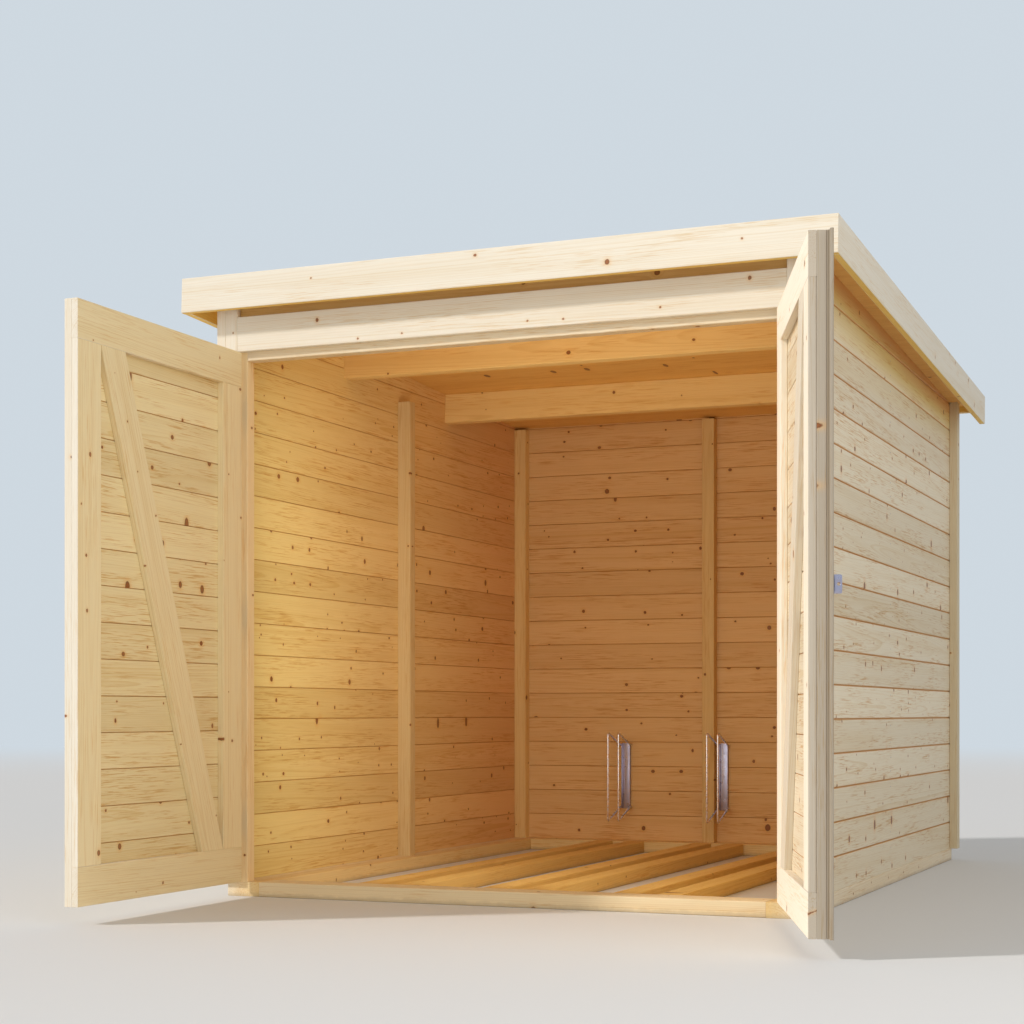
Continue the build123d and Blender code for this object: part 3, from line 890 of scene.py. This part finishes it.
# Painted light and shade per leaf: the right leaf's inner face is pale as lit and its free edge and batten grey and
# darker as shade; the left leaf's inner face is warm as shade
doorLook = {"near": 0.003, "far": 0.764, "frameWidth": 0.096, "boardsFace": -0.0235, "stop": -0.0055,
            "boardThickness": 0.020, "edgeBatten": 0.020, "firstJoint": 0.055, "braceRun": 0.105, "braceSpare": 0.3,
            "innerPaintedLight": {1: 1.0, -1: 0.08}, "boardAir": {1: 1.0, -1: 0.5}, "edgePaintedLight": {1: 1.95, -1: 1.0},
            "battenTone": {1: 1.0, -1: 0.0}, "framePaintedTone": {1: -2.6, -1: -0.3}, "arris": {1: 0.003, -1: 0.001}}


def makeDoor(side, prefix, look):
    body = prefix + "_door"
    dice = random.Random(61 + side)
    swing = leafTurn[side]
    near, far, wide, batten = look["near"], look["far"], look["frameWidth"], look["edgeBatten"]
    back, front = fromFront(look["stop"]), fromFront(look["boardsFace"])
    outer = front - look["boardThickness"]
    tone, edgePaintedLight = look["framePaintedTone"][side], look["edgePaintedLight"][side]
    place = swing @ columns((side * (near + batten + far) / 2, front, doorBottom), (1, 0, 0), (0, 0, 1), (0, -1, 0))
    addPiece(body + "_boards", boarding(far - near - batten, doorTop - doorBottom, look["boardThickness"],
                                        look["firstJoint"], dice, place, innerPaintedLight=evenly(look["boardAir"][side])),
             "wall_boards", body)

    def leafPaintedLight(corner):
        # Painted light and shade: the outside takes the pale outside colour; the inner face and the free edge are
        # painted lit or shaded on each leaf, the right leaf's free edge greyer as painted shade.
        if abs(corner.x) < near + (0.0004 if corner.y > back - 0.0005 else 0.0026):
            return edgePaintedLight
        return look["innerPaintedLight"][side] if corner.y > outer + 0.001 else 1.0

    low, high = doorBottom + wide, doorTop - wide
    stiles = [timberBox(*mirrored(side, (edge, front, low), (edge + wide, back, high)), "Z", dice, frameOf=swing,
                        openAir=leafPaintedLight, radius=look["arris"][side], darker=tone) for edge in (near, far - wide)]
    stiles.append(timberBox(*mirrored(side, (near, outer, doorBottom), (near + batten, front, doorTop)), "Z", dice,
                            frameOf=swing, openAir=evenly(edgePaintedLight), radius=0.001, darker=look["battenTone"][side]))
    addPiece(body + "_stiles", stiles, "planed_trim", body)
    rails = [timberBox(*mirrored(side, (near, front, level), (far, back, level + wide)), "X", dice, frameOf=swing,
                       openAir=leafPaintedLight, darker=tone) for level in (doorBottom, high)]
    addPiece(body + "_rails", rails, "planed_trim", body)

    rise, lean = high - low, near + wide - (far - wide - look["braceRun"])
    length = math.hypot(lean, rise)
    along, outward = Vector((side * lean, 0, rise)) / length, Vector((0, -1, 0))
    middle = Vector((side * (near + far) / 2, (front + back) / 2, (low + high) / 2))
    toFrame = columns(middle, along, outward.cross(along), outward)
    bm = startTimber()
    addBlock(bm, (length + look["braceSpare"], look["braceRun"] * rise / length, back - front))
    cutOff(bm, toFrame, ((Vector((0, 0, low)), -axes["Z"]), (Vector((0, 0, high)), axes["Z"])))
    roundEdges(bm, grainEdges(bm), 0.002)
    addPiece(body + "_brace", [layTimber(bm, toFrame, dice, leafPaintedLight, swing)], "planed_trim", body)


for side, prefix in sides:
    makeDoor(side, prefix, doorLook)
print("doors made")


# The cover strip is painted as shade: the grey shade colour and a darker tone
stripLook = {"near": -0.014, "far": 0.031, "outer": -0.0565, "seat": -0.0435, "reliefTo": 0.003, "relief": 0.0055,
             "arris": 0.002, "darker": 1.0, "air": 2.0}


def makeStrip(look):
    near, far, outer, seat, reliefTo = (look[key] for key in ("near", "far", "outer", "seat", "reliefTo"))
    outline = [(near, outer), (far, outer), (far, seat), (reliefTo, seat), (reliefTo, seat - look["relief"]),
               (near, seat - look["relief"])]
    length, middleX, middleY = doorTop - doorBottom, (near + far) / 2, (outer + seat) / 2
    bm = startTimber()
    addProfile(bm, [(-length / 2, x - middleX, y - middleY) for x, y in outline], (length, 0, 0))
    roundEdges(bm, [edge for edge in grainEdges(bm) if edge.calc_face_angle_signed() > 0.5], look["arris"])
    toFrame = columns((middleX, fromFront(middleY), (doorTop + doorBottom) / 2), axes["Z"], axes["X"], axes["Y"])
    strip = layTimber(bm, toFrame, random.Random(71), evenly(look["air"]), leafTurn[1], look["darker"])
    addPiece("right_cover_strip", [strip], "planed_trim", "right_door", "coverStrip")


makeStrip(stripLook)


# Steel tools

steelLook = {"sides": 24, "rim": 0.0005}


def steelBox(low, high, corner=0.0, axis="X"):
    # A plate between two corners, with the corners rounded that run along the named axis.
    low, high = Vector(low), Vector(high)
    bm = bmesh.new()
    addBlock(bm, high - low, (low + high) / 2)
    if corner:
        runs = ((edge, (edge.verts[1].co - edge.verts[0].co).normalized()) for edge in bm.edges)
        roundEdges(bm, [edge for edge, run in runs if abs(run.dot(axes[axis])) > 0.9], corner, 4)
    roundEdges(bm, sharpEdges(bm), steelLook["rim"])
    return bm


def steelRod(radius, low, high, place, rim=0.0006):
    # An upright rod at a place, its end rims rounded.
    bm = bmesh.new()
    bmesh.ops.create_cone(bm, cap_ends=True, segments=steelLook["sides"], radius1=radius, radius2=radius,
                          depth=high - low)
    shift(bm, (*place, (low + high) / 2))
    roundEdges(bm, sharpEdges(bm), rim)
    return bm


def facing(place, outward):
    # A matrix that lays something drawn flat, with z up, at a place on a surface.
    return Matrix.Translation(place) @ Vector(outward).to_track_quat("Z", "Y").to_matrix().to_4x4()


def screwHead(radius, place, outward, dice):
    # A flat countersunk head with a cross recess, turned by chance as screws are.
    bm = bmesh.new()
    bmesh.ops.create_grid(bm, x_segments=5, y_segments=5, size=radius)
    middles = ((face, face.calc_center_median()) for face in bm.faces)
    slot = [face for face, spot in middles
            if min(abs(spot.x), abs(spot.y)) < radius * 0.1 and spot.length < radius * 0.6]
    for vert in bm.verts:
        x, y = vert.co.x / radius, vert.co.y / radius
        vert.co.x, vert.co.y = x * math.sqrt(1 - y * y / 2) * radius, y * math.sqrt(1 - x * x / 2) * radius
        vert.co.z = radius * 0.16 * (1 - (vert.co.x ** 2 + vert.co.y ** 2) / radius ** 2)
    sunk = bmesh.ops.extrude_face_region(bm, geom=slot)
    bmesh.ops.translate(bm, vec=(0, 0, -radius * 0.35), verts=vertsOf(sunk["geom"]))
    bmesh.ops.delete(bm, geom=slot, context="FACES")
    return moved(bm, facing(place, outward) @ Matrix.Rotation(dice.uniform(0, math.pi / 2), 4, "Z"))


def nailHead(radius, place, outward):
    bm = bmesh.new()
    bmesh.ops.create_cone(bm, cap_ends=True, segments=10, radius1=radius, radius2=radius * 0.72, depth=radius * 0.30)
    shift(bm, (0, 0, radius * 0.10))
    return moved(bm, facing(place, outward))


def addSteel(node, islands, body="shelter", place=unmoved):
    addPiece(node, [moved(island, place) for island in islands], "galvanised_steel", body)


# Hinges: the plates and pins stay on the front battens, the flaps swing with the doors

hingeLook = {"level": (0.203, 0.769, 1.335), "height": 0.084, "barrel": 0.006, "pin": 0.0025, "pinCap": 0.0036,
             "plate": 0.034, "plateFrom": 0.0064, "curlTo": 0.0094, "plateThickness": 0.0025, "corner": 0.004,
             "flap": 0.034, "flapThickness": 0.002, "doorEdge": 0.764, "flapMiddle": -0.0245, "knuckleGap": 0.001,
             "notch": 0.0046, "curl": 0.0025, "pinShows": 0.0006, "capHeight": 0.0016, "screw": 0.0038,
             "battenFace": -0.018, "screwRise": 0.029}


def hingePlate(level, look, dice):
    low, high, third = level - look["height"] / 2, level + look["height"] / 2, look["height"] / 3
    face = fromFront(look["battenFace"])
    outer = face - look["plateThickness"]
    spans = ((low, low + third), (high - third, high))
    pinPlace = (hingeX, hingeY)
    return [
        steelBox((hingeX + look["plateFrom"], outer, low), (hingeX + look["plate"], face, high), look["corner"], "Y"),
        *(steelBox((hingeX, outer, bottom), (hingeX + look["curlTo"], face, top)) for bottom, top in spans),
        *(steelRod(look["barrel"], bottom, top, pinPlace) for bottom, top in spans),
        steelRod(look["pin"], low - look["pinShows"], high + look["pinShows"], pinPlace),
        steelRod(look["pinCap"], high, high + look["capHeight"], pinPlace),
        *(screwHead(look["screw"], (hingeX + reach, outer, level + rise * look["screwRise"]), (0, -1, 0), dice)
          for reach, rise in ((0.026, -1), (0.018, 0), (0.026, 1)))]


def hingeFlap(level, look, dice):
    low, high, third = level - look["height"] / 2, level + look["height"] / 2, look["height"] / 3
    edge, middle = look["doorEdge"], fromFront(look["flapMiddle"])
    left, right = middle - look["flap"] / 2, middle + look["flap"] / 2
    inner, outer = hingeY - look["notch"], hingeY + look["notch"]
    bottom, top = low + third + look["knuckleGap"], high - third - look["knuckleGap"]
    outline = [(left, low), (inner, low), (inner, bottom), (outer, bottom), (outer, low), (right, low),
               (right, high), (outer, high), (outer, top), (inner, top), (inner, high), (left, high)]
    bm = bmesh.new()
    addProfile(bm, [(edge, y, z) for y, z in outline], (look["flapThickness"], 0, 0))
    roundEdges(bm, sharpEdges(bm), 0.0004, 1)
    return [
        bm, steelRod(look["barrel"], bottom, top, (hingeX, hingeY)),
        steelBox((edge + 0.0004, hingeY - look["curl"], bottom), (hingeX, hingeY + look["curl"], top)),
        *(screwHead(look["screw"], (edge + look["flapThickness"], middle + reach, level + rise * look["screwRise"]),
                    (1, 0, 0), dice) for reach, rise in ((-0.011, -1), (0.011, 0), (-0.011, 1)))]


def makeHinges(look):
    dice = random.Random(81)
    for side, prefix in sides:
        plates, flaps = [], []
        for level in look["level"]:
            plates += hingePlate(level, look, dice)
            flaps += hingeFlap(level, look, dice)
        addSteel(prefix + "_hinge_plates", plates, place=sidePlace[side])
        addSteel(prefix + "_hinge_flaps", flaps, prefix + "_door", leafPlace[side])


makeHinges(hingeLook)
print("hinges made")


# Padlock eyes: a foot screwed on, and a fin with the hole and a rolled edge

eyeLook = {"level": 0.769, "height": 0.039, "foot": 0.024, "thickness": 0.003, "tip": -0.0735, "hole": 0.0035,
           "holeFrom": -0.0665, "corner": 0.004, "roll": 0.0021, "rollOut": 0.0012, "rollShort": 0.001,
           "screw": 0.0036, "screwRise": 0.0115, "places": {1: (-0.012, -0.0565), -1: (0.055, -0.0435)}}


def padlockEye(near, seat, look, dice):
    level, half, thick, roll = look["level"], look["height"] / 2, look["thickness"], look["roll"]
    seat, tip = fromFront(seat), fromFront(look["tip"])
    foot = steelBox((near, seat - thick, level - half), (near + look["foot"], seat, level + half), look["corner"], "Y")
    bm = bmesh.new()
    centre = Vector((near, fromFront(look["holeFrom"]), level))
    turnedUp = Matrix.Translation(centre) @ Matrix.Rotation(math.radians(90), 4, "Y")
    hole, outer = (bmesh.ops.create_circle(bm, segments=28, radius=radius, matrix=turnedUp)["verts"]
                   for radius in (look["hole"], 1.0))
    for vert in outer:
        way = vert.co - centre
        span = seat - centre.y if way.y > 0 else centre.y - tip
        vert.co = centre + way * min(span / max(abs(way.y), 1e-6), half / max(abs(way.z), 1e-6))
    bmesh.ops.bridge_loops(bm, edges=list({edge for vert in hole + outer for edge in vert.link_edges}))
    pushOut(bm, list(bm.faces), (thick, 0, 0))
    roundEdges(bm, sharpEdges(bm), steelLook["rim"])
    edge = steelRod(roll, level - half + look["rollShort"], level + half - look["rollShort"],
                    (near + thick - roll + look["rollOut"], tip + roll), rim=0.0008)
    return [foot, bm, edge] + [screwHead(look["screw"], (near + look["foot"] * 0.62, seat - thick, level + rise),
                                         (0, -1, 0), dice) for rise in (-look["screwRise"], look["screwRise"])]


def makeEyes(look):
    dice = random.Random(91)
    for side, prefix in sides:
        eye = padlockEye(*look["places"][side], look, dice)
        addSteel(prefix + "_padlock_eye", eye, prefix + "_door", leafPlace[side])


makeEyes(eyeLook)
print("padlock eyes made")


# Wheel holders: a folded plate on the rear wall with two bent wires welded to it

holderLook = {"centres": (-0.365, 0.006, 0.377), "wall": 2.077, "width": 0.034, "bottom": 0.155, "height": 0.241,
              "thickness": 0.0025, "flange": 0.014, "flangeSeat": 0.001, "plateCorner": 0.003, "corner": 0.006,
              "wire": 0.00375, "reach": 0.150, "spread": 0.040, "flare": 0.047, "bend": 0.007,
              "bead": (0.0026, 0.0042, 0.0044), "beadIn": 0.0022, "beadOut": 0.0015,
              "screw": 0.0045, "screwEnd": 0.035}


def bentWire(x, look):
    # One wire: out from the plate, round, along the front of the slot, round and back.
    back, nose = fromFront(look["wall"] - look["flange"]), fromFront(look["wall"] - look["reach"])
    low = look["bottom"] + 2 * look["wire"]
    high = look["bottom"] + look["height"] - 2 * look["wire"]
    out = Vector((0, nose - back, look["flare"]))
    turn = math.pi - math.acos(out.normalized().z)
    saved = look["bend"] * math.tan(turn / 2)
    ends, front = ("go", out.length - saved), high - low + 2 * look["flare"] - 2 * saved
    bm = bmesh.new()
    place, way = Vector((x, back, high)), out.normalized()
    start = bmesh.ops.create_circle(bm, segments=16, radius=look["wire"], matrix=facing(place, way))
    first = ring = list({edge for vert in start["verts"] for edge in vert.link_edges})
    for kind, amount in (ends, ("turn", turn), ("go", front), ("turn", turn), ends):
        if kind == "go":
            grown = bmesh.ops.extrude_edge_only(bm, edges=ring)["geom"]
            bmesh.ops.translate(bm, vec=way * amount, verts=vertsOf(grown))
            ring = [edge for edge in edgesOf(grown) if len(edge.link_faces) == 1]
            place = place + way * amount
        else:
            centre = place + Vector((0, -way.z, way.y)) * look["bend"]
            ring = edgesOf(bmesh.ops.spin(bm, geom=ring, cent=centre, axis=(1, 0, 0), angle=amount, steps=7,
                                          use_duplicate=False)["geom_last"])
            bend = Matrix.Rotation(amount, 3, "X")
            place, way = centre + bend @ (place - centre), bend @ way
    for end in (first, ring):
        bmesh.ops.edgeloop_fill(bm, edges=end)
    bmesh.ops.remove_doubles(bm, verts=bm.verts, dist=1e-6)
    bmesh.ops.recalc_face_normals(bm, faces=bm.faces)
    return bm


def weldBead(place, size):
    bm = bmesh.new()
    bmesh.ops.create_uvsphere(bm, u_segments=10, v_segments=6, radius=1.0)
    return stretch(bm, size, place)


def makeHolders(look):
    dice = random.Random(101)
    wall, half, thick = fromFront(look["wall"]), look["width"] / 2, look["thickness"]
    low, high = look["bottom"], look["bottom"] + look["height"]
    for number, centre in enumerate(look["centres"], 1):
        wires = []
        parts = [steelBox((centre - half, wall - thick, low), (centre + half, wall, high), look["plateCorner"], "Y")]
        for side in (-1, 1):
            left, right = sorted((centre + side * half, centre + side * (half - thick)))
            parts.append(steelBox((left, wall - look["flange"], low), (right, wall - look["flangeSeat"], high),
                                  look["corner"], "X"))
            wireX = centre + side * look["spread"] / 2
            wires.append(bentWire(wireX, look))
            beadPlace = wireX - side * look["beadIn"], wall - look["flange"] + look["beadOut"]
            parts += [weldBead((*beadPlace, level), look["bead"])
                      for level in (low + 2 * look["wire"], high - 2 * look["wire"])]
        parts += [screwHead(look["screw"], (centre, wall - thick, level), (0, -1, 0), dice)
                  for level in (low + look["screwEnd"], (low + high) / 2, high - look["screwEnd"])]
        addSteel("wheel_holder_%d" % number, parts)
        finishPiece("wheelHolderWires%d" % number, wires, "shelter", "galvanised_steel", surface="brightWire")


makeHolders(holderLook)
print("wheel holders made")


# Roofing felt: three sheets lapped down the slope, turned up at the fascias and down at the back

feltSheets = {"deck": 0.016, "thickness": 0.0022, "halfWidth": 0.8955,
              "runs": ((1.42, 2.1745), (0.69, 1.52), (-0.0575, 0.79)), "lap": 0.10, "ramp": 0.07,
              "upturn": 0.013, "upturnLift": 0.0005, "upturnShort": 0.012, "drip": 0.022, "wave": 0.0005,
              "nail": 0.0042, "nailPitch": 0.10, "nailFromEdge": 0.02, "nailStray": 0.008}


def makeFelt(look):
    dice = random.Random(111)
    half, thick, deck, lap = look["halfWidth"], look["thickness"], look["deck"], look["lap"]
    sheets, nails = [], []
    for order, (start, end) in enumerate(look["runs"]):
        bm = bmesh.new()
        bmesh.ops.create_grid(bm, x_segments=36, y_segments=24, size=0.5)
        stretch(bm, (2 * half, end - start, 1), (0, (start + end) / 2, 0))
        for vert in bm.verts:
            lift = min(1.0, max(0.0, (vert.co.y - end + lap + look["ramp"]) / look["ramp"])) if order else 0.0
            ripple = math.sin(vert.co.x * 11.0 + order * 2.1) * math.sin(vert.co.y * 7.0 + order)
            vert.co.z = deck + thick * (1.0 + lift) + look["wave"] * (1.0 + ripple) / 2
        pushOut(bm, list(bm.faces), (0, 0, -thick))
        sheets.append(bm)
        stop = end - (lap + look["upturnLift"] if order else look["upturnShort"])
        sheets += [steelBox(*mirrored(side, (half - thick, start, deck + look["upturnLift"]),
                                      (half, stop, deck + thick + look["upturn"]))) for side in (-1, 1)]
        if order:
            count = int(2 * half / look["nailPitch"])
            for step in range(count):
                x = -half + (step + 0.5) * 2 * half / count + dice.uniform(-look["nailStray"], look["nailStray"])
                spot = (x, end - look["nailFromEdge"], deck + 2 * thick + look["wave"])
                nails.append(nailHead(look["nail"], spot, (0, 0, 1)))
    rear = look["runs"][0][1]
    sheets.append(steelBox((-half, rear, deck + thick - look["drip"]), (half, rear + thick, deck + thick)))
    addPiece("roof_felt", [moved(sheet, roofFrame) for sheet in sheets], "roofing_felt")
    finishPiece("feltNails", [moved(nail, roofFrame) for nail in nails], "shelter", "galvanised_steel")


makeFelt(feltSheets)
print("felt laid")


# Nails that hold the boards to the posts and the door frames

nailLook = {"radius": 0.0016, "proud": 0.0002, "apart": 0.022, "postLines": (0.019, 1.0595, 2.058),
            "rearLines": (-0.7745, -0.0435, 0.7745), "doorLines": (0.055, 0.716), "stray": 0.004, "strayUp": 0.003,
            "topSliver": 0.03}


def nailLevels(bottom, top, firstJoint, look):
    levels, joint, edge = [], firstJoint, bottom
    while edge < top - look["topSliver"]:
        upper = min(bottom + joint, top)
        middle = (edge + upper) / 2
        levels += [middle - look["apart"], middle + look["apart"]]
        edge, joint = upper, joint + boardLook["pitch"]
    return levels


def makeNails(look):
    dice = random.Random(121)
    radius, proud = look["radius"], look["proud"]

    def stray(reach=look["stray"]):
        return dice.uniform(-reach, reach)

    wall, rear = [], []
    for level in nailLevels(baseTop, roofHeight - 0.01, wallLook["firstJoint"], look):
        for line in look["postLines"]:
            if level < roofHeight - 0.02 - line * roofFall:
                for side in (-1, 1):
                    spot = (side * (halfWidth + proud), fromFront(line) + stray(), level + stray(look["strayUp"]))
                    wall.append(nailHead(radius, spot, (side, 0, 0)))
        if level < roofHeight - 0.03 - shelterDepth * roofFall:
            for line in look["rearLines"]:
                spot = (line + stray(), fromFront(shelterDepth) + proud, level + stray(look["strayUp"]))
                rear.append(nailHead(radius, spot, (0, 1, 0)))
    finishPiece("wallNails", wall + rear, "shelter", "galvanised_steel")
    outer = fromFront(doorLook["boardsFace"] - doorLook["boardThickness"]) - proud
    for side, prefix in sides:
        heads = [nailHead(radius, (line + stray(), outer, level), (0, -1, 0)) for line in look["doorLines"]
                 for level in nailLevels(doorBottom, doorTop, doorLook["firstJoint"], look)]
        finishPiece(prefix + "DoorNails", [moved(head, leafPlace[side]) for head in heads], prefix + "_door",
                    "galvanised_steel")


makeNails(nailLook)
print("nails driven")
